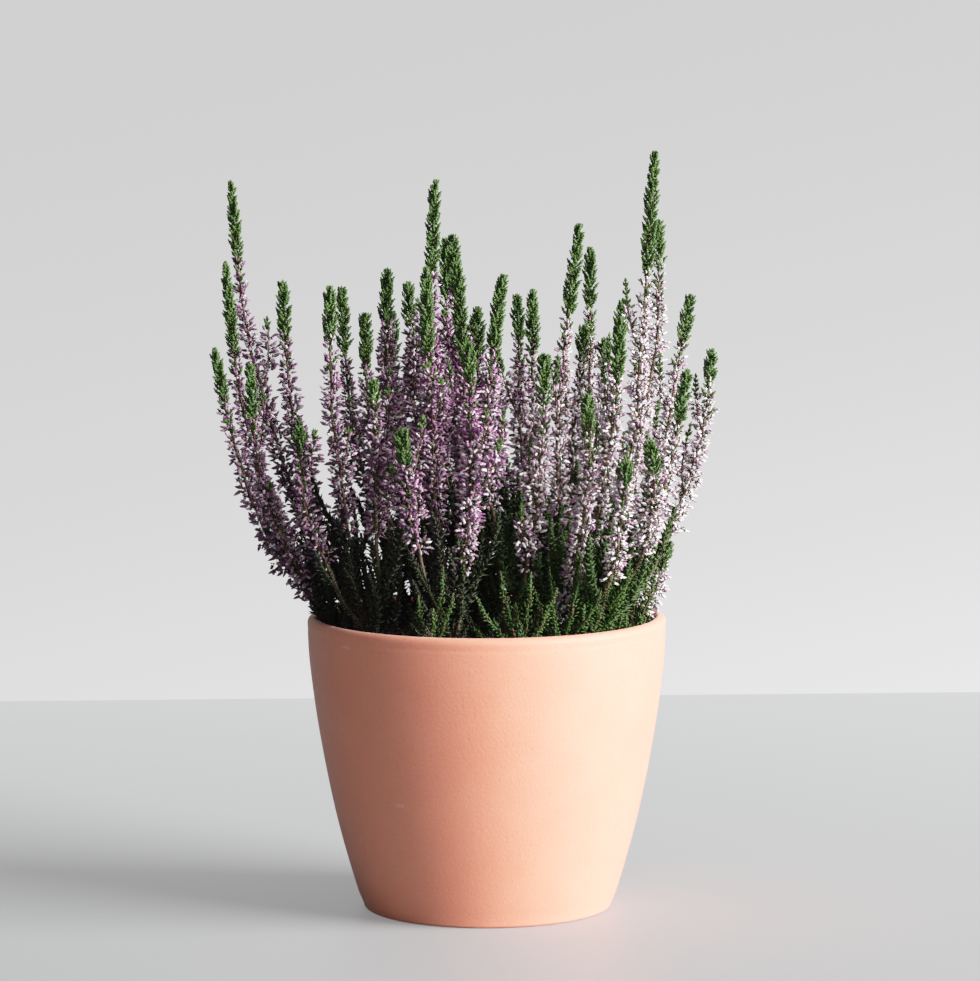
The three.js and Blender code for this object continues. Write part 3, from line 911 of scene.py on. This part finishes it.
def add_sprays(leaves, path, low, high, count, tall, dry, draw, old=False):
    """Sprays that stand up from the lower part of a stem. The old dry ones lean into the plant."""
    starts = low + (high - low) * uneven(count, draw)
    wide = OLD_LEAF if old else SPRAY_LEAF
    for place, along in zip(*follow(path, starts)):
        inward = unit(-place * [1.0, 1.0, 0.0])
        pull = 0.9 if old else np.interp(place[0], [0.042, 0.052], [0.3, 1.6])
        out = unit(draw.normal(size=3) * [1.0, 1.0, 0.2] + pull * inward)
        length = tall * draw.uniform(0.65, 1.2)
        middle = place + 0.45 * length * unit(0.6 * along + 0.8 * out + [0.0, 0.0, 0.2])
        end = place + length * unit(0.9 * along + 0.45 * out + [0.0, 0.0, 0.35])
        spray = bezier([place, middle, end], 10)
        add_spray(leaves, spray, 0.1 * length, length_of(spray) - SPRAY_GAP, wide, dry, draw, old)


# ---------------- flowering branches
# Each branch has its woody foot and stems, the buds on them, and its leaves: the bracts, the green tips and
# the low shoots. A list of pairs gives values by how far right of the pot's axis the point of a stem is: the
# plant is older and denser on the left, away from the window, and painted darker there as shade.
BUDS_LOWEST = 0.126
BUDS_INSIDE = 0.150
BUDS_UNEVEN = 0.012
BUDS_HIGHER = [(-0.095, -0.012), (-0.080, 0.012), (-0.040, 0.014), (-0.015, 0.0), (0.015, 0.0)]
BUDS_HIGHER += [(0.028, -0.012), (0.040, -0.018), (0.050, 0.003), (0.060, 0.010), (0.080, 0.013)]
BUDS_DENSER = [(-0.05, 1.0), (-0.03, 1.25), (0.0, 1.2), (0.04, 0.95)]
# Painted shade on the buds, strongest on the left and middle, away from the window.
PAINTED_BUD_SHADE = [(-0.045, 0.80), (-0.032, 0.72), (-0.024, 0.74), (-0.016, 0.46), (-0.008, 0.28)]
PAINTED_BUD_SHADE += [(0.0, 0.42), (0.04, 0.0)]
DEEP_MIDDLE = -0.016
DEEP_WIDTH = 0.022
DEEP_LEAST = [(-0.05, 0.45), (0.03, 0.0)]
DEEP_LESS = [(0.030, 0.0), (0.055, 0.4)]
LIT = [(-0.02, 0.0), (0.04, 1.0)]
# Painted shade: how dark the lower stems are, darkest on the left, away from the window.
STEM_PAINTED_SHADE = [(-0.03, 0.92), (-0.005, 0.0)]
SIDE_SPIKES = [(-0.050, 1), (-0.035, 4), (0.0, 4), (0.015, 2)]
SIDE_LENGTH = 0.026
SIDE_RINGS = (10, 4)
SIDE_TAPER = ([0, 1], [0.0004, 0.00018])
SIDE_SHOOT = 0.0020
SIDE_PAIR_STEP = 0.0016
SPRIG_RADIUS = 0.00028
BACK_NEARER = 0.010
EDGE_TIPS = ([0.083, 0.087], [TIP_REACH, 0.82 * TIP_REACH])
GREEN_OVER_BUDS = 0.001
LEAFY_BELOW_TIP = 0.015
SHORT_SHOOT = 0.0036
SHORT_SHOOT_STEP = 0.0034
GREEN_SPRAYS = (3, 8)
GREEN_SPRAY_TALL = 0.022
GREEN_SPRAYS_UP_TO = [(0.06, 0.36), (0.08, 0.20)]
STEM_SPRAY_FROM = 0.006
STEM_SPRAY_LEAF = 0.0022
LONGER_IN_LIGHT = 0.0010
OLD_SPRAYS = 8
MORE_OLD_SPRAYS = (-0.06, -0.03)
OLD_SPRAY_TALL = [(-0.095, 0.015), (-0.075, 0.032)]


def by_place(pairs, point):
    """The value for a point this far right of the pot's axis, from pairs of place and value."""
    return np.interp(point[0], *zip(*pairs))


def nodes_named(start):
    """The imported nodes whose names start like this, in order."""
    return sorted(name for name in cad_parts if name.startswith(start))


def start_plant(node, collar_radius, seed):
    """The stocks of a branch or clump with its foot made, where its stems start, and its random draws."""
    draw = np.random.default_rng(seed)
    wood, leaves = Stock(bark, "bark", "young", "dead"), Stock(leaf_skin, "leaves", "share", "chance", "dry")
    buds = Stock(bud_skin, "buds", "share", "chance", "depth", "plum")
    root = root_of(node)
    start = add_collar(wood, root, collar_radius, draw)
    add_foot_sprays(leaves, root, draw)
    return (wood, buds, leaves), start, draw


def finish_plant(stocks, name, *nodes):
    """The pieces of a branch or clump. A clump may have no buds."""
    for stock, kind in zip(stocks, ("wood", "buds", "leaves")):
        if stock.count:
            stock.piece(f"{name}_{kind}", *nodes)


def height_reached(path, height):
    """How far along a path it first comes this high."""
    distances = np.linspace(0, length_of(path), 200)
    return float(np.interp(height, follow(path, distances)[0][:, 2], distances))


def side_spike(path, distance, draw):
    """The way of a short spike that leaves a stem and stays close to it."""
    (place,), (along,) = follow(path, np.array([distance]))
    inward = -place * [1.0, 1.0, 0.0] / 0.05
    out = unit(outward(along[None, :], draw.uniform(0, 2 * np.pi, 1))[0] + inward)
    length = SIDE_LENGTH * draw.uniform(0.75, 1.25)
    end = place + length * unit(along + 0.30 * out)
    return bezier([place, place + 0.35 * length * unit(along + 0.7 * out), end], 24)


def bud_hue_and_shade(point, draw):
    """How mauve the buds of a stem are, and how much painted shade they get."""
    deep = math.exp(-(((point[0] - DEEP_MIDDLE) / DEEP_WIDTH) ** 2)) * draw.uniform(0.6, 1.0)
    deep = max(deep, by_place(DEEP_LEAST, point)) - by_place(DEEP_LESS, point)
    return deep, by_place(PAINTED_BUD_SHADE, point)


def add_sprigs(wood, leaves, sprigs, draw):
    """The wood of the sprigs, with a few leaves at the end of each."""
    start, way, length, _ = sprigs
    sprig_axes = axes(way, across(way)[0], SPRIG_RADIUS, SPRIG_RADIUS, length)
    wood.add_copies(stalk_shape, start, sprig_axes, young=0.7, dead=0.0)
    end = start + (length - SHOOT_SHORTEST)[:, None] * way
    clothe(leaves, end, way, np.full(len(end), SCALE_STEP), 1, draw)


def add_side_spike(stocks, spike, per_metre, hue_and_shade, lit, draw):
    """A short spike with buds and a green tip of its own."""
    wood, buds, leaves = stocks
    length = length_of(spike)
    add_stem(wood, spike, SIDE_RINGS, SIDE_TAPER, young=0.8, dead=0.0)
    green_from = np.interp(lit, [0, 1], [0.78, 0.58]) * length
    stands = stem_stands(spike, 0.15 * length, green_from, 0.7 * per_metre, draw)
    add_buds(buds, leaves, stands, hue_and_shade, draw)
    end = length - POINT_GAP
    low = green_from - GREEN_OVER_BUDS
    add_leafy(leaves, spike, low, end, SIDE_SHOOT, draw, step=SIDE_PAIR_STEP)
    clothe_stem(leaves, spike, green_from, end, SCALE_STEP, draw)


def add_green_tip(leaves, path, low, high, point, draw):
    """The green tip of a stem, narrower at the plant's edge, and short sparse shoots just below it."""
    outermost = max(abs(point[0]), point[1] + BACK_NEARER)
    wide = np.interp(outermost, *EDGE_TIPS)
    add_leafy(leaves, path, low - GREEN_OVER_BUDS, high - POINT_GAP, wide, draw)
    clothe_stem(leaves, path, 0.45 * low + 0.55 * high, high - POINT_GAP, SCALE_STEP, draw)
    low_shoots = low - LEAFY_BELOW_TIP
    add_leafy(leaves, path, low_shoots, low, SHORT_SHOOT, draw, step=SHORT_SHOOT_STEP, closing=0.3)


def add_low_sprays(leaves, path, length, first_bud, point, lit, draw):
    """The sprays on the lower part of a stem: green ones, painted dark as shade away from the window, and dry
    dark ones behind them, painted darker still there.
    """
    green_sprays = round(np.interp(lit, [0, 1], GREEN_SPRAYS))
    highest = by_place(GREEN_SPRAYS_UP_TO, point) * length
    # Painted shade: the green sprays are darkened away from the window, and the old ones more so.
    shade = 0.92 * (1 - lit)
    add_sprays(leaves, path, 0.05 * length, highest, green_sprays, GREEN_SPRAY_TALL, shade, draw)
    tall = by_place(OLD_SPRAY_TALL, point)
    old_sprays = OLD_SPRAYS + (2 if MORE_OLD_SPRAYS[0] < point[0] < MORE_OLD_SPRAYS[1] else 0)
    dryness_and_shade = 1 - 0.65 * lit
    add_sprays(leaves, path, 0.02 * length, 0.34 * length, old_sprays, tall, dryness_and_shade, draw, old=True)
    wide = STEM_SPRAY_LEAF + LONGER_IN_LIGHT * lit
    high = first_bud + STEM_SPRAY_FROM
    add_spray(leaves, path, STEM_SPRAY_FROM, high, wide, 0.6 * dryness_and_shade, draw)


def add_flowering_stem(stocks, start, foot, point, draw):
    """One stem with its flowers and leaves, from its collar to the point of its green tip."""
    wood, buds, leaves = stocks
    route, green = stem_path(start, foot, point)
    route = wander(route, draw, STEM_WANDER)
    path = np.vstack([route, green])
    young = up_stem(STEM_RINGS)
    # Painted shade: the lower part of a stem on the left, away from the window, is darkened nearly to black.
    dead = by_place(STEM_PAINTED_SHADE, point) * np.interp(young, [0.30, 0.45], [1.0, 0.15])
    add_stem(wood, path, STEM_RINGS, STEM_TAPER, young=young, dead=dead)
    lowest = np.interp(np.hypot(*point[:2]), [0.02, 0.06], [BUDS_INSIDE, BUDS_LOWEST])
    lowest += draw.uniform(0, BUDS_UNEVEN)
    first_bud = height_reached(path, lowest + by_place(BUDS_HIGHER, point))
    last_bud = length_of(route) + GREEN_OVER_BUDS
    sprigs = sprigs_on(path, first_bud, last_bud, draw)
    add_sprigs(wood, leaves, sprigs, draw)
    hue_and_shade = bud_hue_and_shade(point, draw)
    lit = by_place(LIT, point)
    per_metre = BUDS_PER_METRE * by_place(BUDS_DENSER, point)
    add_buds(buds, leaves, stem_stands(path, first_bud, last_bud, per_metre, draw), hue_and_shade, draw)
    add_buds(buds, leaves, sprig_stands(*sprigs), hue_and_shade, draw)
    side_spikes = round(by_place(SIDE_SPIKES, point))
    for distance in first_bud + (last_bud - first_bud) * draw.uniform(0.10, 0.75, side_spikes):
        add_side_spike(stocks, side_spike(path, distance, draw), per_metre, hue_and_shade, lit, draw)
    add_green_tip(leaves, path, length_of(route), length_of(path), point, draw)
    add_low_sprays(leaves, path, length_of(route), first_bud, point, lit, draw)
    clothe_stem(leaves, path, first_bud, last_bud, 2 * SCALE_STEP, draw, dry=0.55)


bark, bud_skin, leaf_skin = bark_finish(), bud_finish(), leaf_finish()
for seed, branch in enumerate(nodes_named("flower_branch_"), 100):
    number = branch.rsplit("_", 1)[1]
    tips = nodes_named(f"green_tip_{number}_")
    stocks, start, draw = start_plant(branch, COLLAR_RADIUS, seed)
    for tip in tips:
        add_flowering_stem(stocks, start, *tip_ends(tip), draw)
    finish_plant(stocks, f"branch_{number}", branch, *tips)

# ---------------- leafy shoots
# Clumps of low shoots without flowers, feathery and green on tan stems, that fill the foot of the plant. A
# shoot that stands out at the right edge has a few pale buds.
SHOOT_COLLAR_RADIUS = 0.0018
SHOOT_LOWEST = 0.006
SHOOT_POINT = 0.00027
SHOOTS_APART = 0.002
SHOOT_RINGS = (30, 5)
SHOOT_TAPER = ([0, 0.3, 1], [0.0008, 0.0005, 0.0002])
SHOOT_WANDER = 0.0004
SHOOT_LEAF = 0.0032
BUDDED_BEYOND = 0.068
BUDDED_PER_METRE = 2600
BUDDED_HUE_AND_SHADE = (-0.7, 0.0)
BUDDED_SHOOT = 0.0026


def shoot_ends(clump, root):
    """The points of the shoots of a clump: where the last ring of a stem closes to a quarter millimetre."""
    corners = corners_of(clump)
    corners = corners[corners[:, 2] > root[2] + ROOT_DEPTH + COLLAR_HEIGHT + SHOOT_LOWEST]
    apart = np.linalg.norm(corners[:, None, :] - corners[None, :, :], axis=2)
    close = corners[(apart < SHOOT_POINT).sum(axis=1) >= 5]
    ends = []
    for corner in close:
        if all(np.linalg.norm(corner - end) > SHOOTS_APART for end in ends):
            ends.append(corner)
    return ends


def add_shoot(stocks, start, end, draw):
    """One low shoot, from its collar to its point."""
    wood, buds, leaves = stocks
    bend = [(start[0] + 2 * end[0]) / 3, (start[1] + 2 * end[1]) / 3, start[2] + 0.45 * (end[2] - start[2])]
    path = wander(bezier([start, np.array(bend), end], 40), draw, SHOOT_WANDER)
    whole = length_of(path)
    add_stem(wood, path, SHOOT_RINGS, SHOOT_TAPER, young=up_stem(SHOOT_RINGS, 0.1, 0.9), dead=0.0)
    if end[0] > BUDDED_BEYOND:
        stands = stem_stands(path, 0.30 * whole, 0.80 * whole, BUDDED_PER_METRE, draw)
        add_buds(buds, leaves, stands, BUDDED_HUE_AND_SHADE, draw)
        add_leafy(leaves, path, 0.74 * whole, whole - POINT_GAP, BUDDED_SHOOT, draw)
    else:
        add_spray(leaves, path, 0.15 * whole, whole - SPRAY_GAP, SHOOT_LEAF, 0.0, draw)


for seed, clump in enumerate(nodes_named("leafy_shoots_"), 200):
    stocks, start, draw = start_plant(clump, SHOOT_COLLAR_RADIUS, seed)
    for end in shoot_ends(clump, root_of(clump)):
        add_shoot(stocks, start, end, draw)
    number = clump.rsplit("_", 1)[1]
    finish_plant(stocks, f"shoots_{number}", clump)

# ---------------- table, wall and light
# The pot stands on a pale satin table in front of a pale wall. A tall window to the right, a little in
# front, is the only strong light. The table's glow is seen by the camera alone.
TABLE_EDGE = 0.541
TABLE_SKEW = 0.0387
TABLE_REACH = 3.0
TABLE_GREY = (0.255, 0.262, 0.266, 1.0)
GLOW_FROM = -0.137
GLOW_POWER = 1.2
GLOW_NEAR = 0.192
GLOW_FAR = 0.425
WALL_BEHIND = 2.6
WALL_CORNERS = [(-3.0, -1.5), (3.0, -1.5), (3.0, 3.0), (-3.0, 3.0)]
WALL_TONE = 0.70
WALL_BRIGHTER = 0.141
WALL_FADE = 0.061
WALL_SLANT = 0.22
LIGHTS_AIM = 0.12
ROOM_LIGHT = (0.060, 0.0605, 0.0635, 1.0)
ROOM_SEEN = (0.80, 0.80, 0.81, 1.0)


def stage_sheet(name, corners, finish):
    mesh = bpy.data.meshes.new(name)
    mesh.from_pydata(corners, [], [tuple(range(len(corners)))])
    mesh.materials.append(finish)
    made = bpy.data.objects.new(name, mesh)
    scene.collection.objects.link(made)
    return made


def place_along(tree, axis):
    """How far along this axis of the object a point is."""
    return add_node(tree, "ShaderNodeSeparateXYZ", {0: object_place(tree)}).outputs[axis]


table_finish, tree, shader = new_finish("satin table")
# Painted light: the glow is brighter towards the back of the table.
back = reach(tree, place_along(tree, "Y"), GLOW_FROM, TABLE_EDGE)
glow = reach(tree, math_node(tree, "POWER", back, GLOW_POWER), 0.0, 1.0, GLOW_NEAR, GLOW_FAR)
seen = tree.nodes.new("ShaderNodeLightPath").outputs["Is Camera Ray"]
look = {
    "Base Color": TABLE_GREY,
    "Roughness": 0.5,
    "Specular IOR Level": 0.2,
    "Emission Color": times(tree, glow, seen),
    "Emission Strength": 1.0,
}
give(tree, shader, look)
front = [(x, -TABLE_REACH, 0.0) for x in (-TABLE_REACH, TABLE_REACH)]
far = [(x, TABLE_EDGE + TABLE_SKEW * x, 0.0) for x in (TABLE_REACH, -TABLE_REACH)]
stage_sheet("table", front + far, table_finish)

# Painted light: the wall glows, brighter low down and towards the right, and is not seen by diffuse rays.
wall_finish, tree, shader = new_finish("pale wall")
slant = times(tree, place_along(tree, "X"), WALL_SLANT)
height = math_node(tree, "SUBTRACT", place_along(tree, "Z"), slant)
tone = times(tree, math_node(tree, "POWER", WALL_FADE, height), WALL_BRIGHTER)
look = {
    "Base Color": (0.0, 0.0, 0.0, 1.0),
    "Specular IOR Level": 0.0,
    "Emission Color": plus(tree, tone, WALL_TONE),
    "Emission Strength": 1.0,
}
give(tree, shader, look)
wall = stage_sheet("wall", [(x, WALL_BEHIND, z) for x, z in WALL_CORNERS], wall_finish)
wall.visible_diffuse = False


def add_window(name, azimuth, elevation, distance, width, height, power, colour):
    """A soft light of this size that faces the plant. Azimuth 0 is at the camera, 90 to the right."""
    lamp = bpy.data.lights.new(name, "AREA")
    lamp.shape = "RECTANGLE"
    lamp.size, lamp.size_y = width, height
    lamp.energy = power
    lamp.color = colour
    made = bpy.data.objects.new(name, lamp)
    turn, rise = math.radians(azimuth), math.radians(elevation)
    away = Vector((math.sin(turn) * math.cos(rise), -math.cos(turn) * math.cos(rise), math.sin(rise)))
    made.location = Vector((0.0, 0.0, LIGHTS_AIM)) + distance * away
    made.rotation_euler = away.to_track_quat("Z", "Y").to_euler()
    scene.collection.objects.link(made)


add_window("window", 68.5, 19, 3.0, 2.1, 1.5, 385.0, (1.0, 0.995, 0.99))
add_window("open room", 0, 20, 3.0, 2.0, 2.0, 14.0, (1.0, 1.0, 1.0))
add_window("ceiling", 0, 89, 2.2, 2.4, 2.4, 12.0, (1.0, 1.0, 1.0))

world = bpy.data.worlds.new("room")
scene.world = world
world.use_nodes = True
tree = world.node_tree
seen = tree.nodes.new("ShaderNodeLightPath").outputs["Is Camera Ray"]
give(tree, tree.nodes["Background"], {"Color": blend(tree, seen, ROOM_LIGHT, ROOM_SEEN)})

# The picture's response: straight in the shade, and easing off to white in the light, as film does.
BLACK_LEVEL = 0.0015
WHITE_LEVEL = 2.2
SHADE_RESPONSE = [(0.009, 0.017), (0.018, 0.038), (0.036, 0.082), (0.10, 0.220)]
LIGHT_RESPONSE = [(0.17, 0.36), (0.26, 0.52), (0.378, 0.68), (0.514, 0.81), (0.66, 0.90), (0.82, 0.96)]
view = scene.view_settings
view.view_transform = "Standard"
view.use_curve_mapping = True
response = view.curve_mapping
response.white_level = (WHITE_LEVEL, WHITE_LEVEL, WHITE_LEVEL)
combined = response.curves[3]
combined.points[0].location = (0.0, BLACK_LEVEL)
combined.points[1].location = (1.0, 1.0)
for light, shown in SHADE_RESPONSE + LIGHT_RESPONSE:
    combined.points.new(light, shown)
response.update()
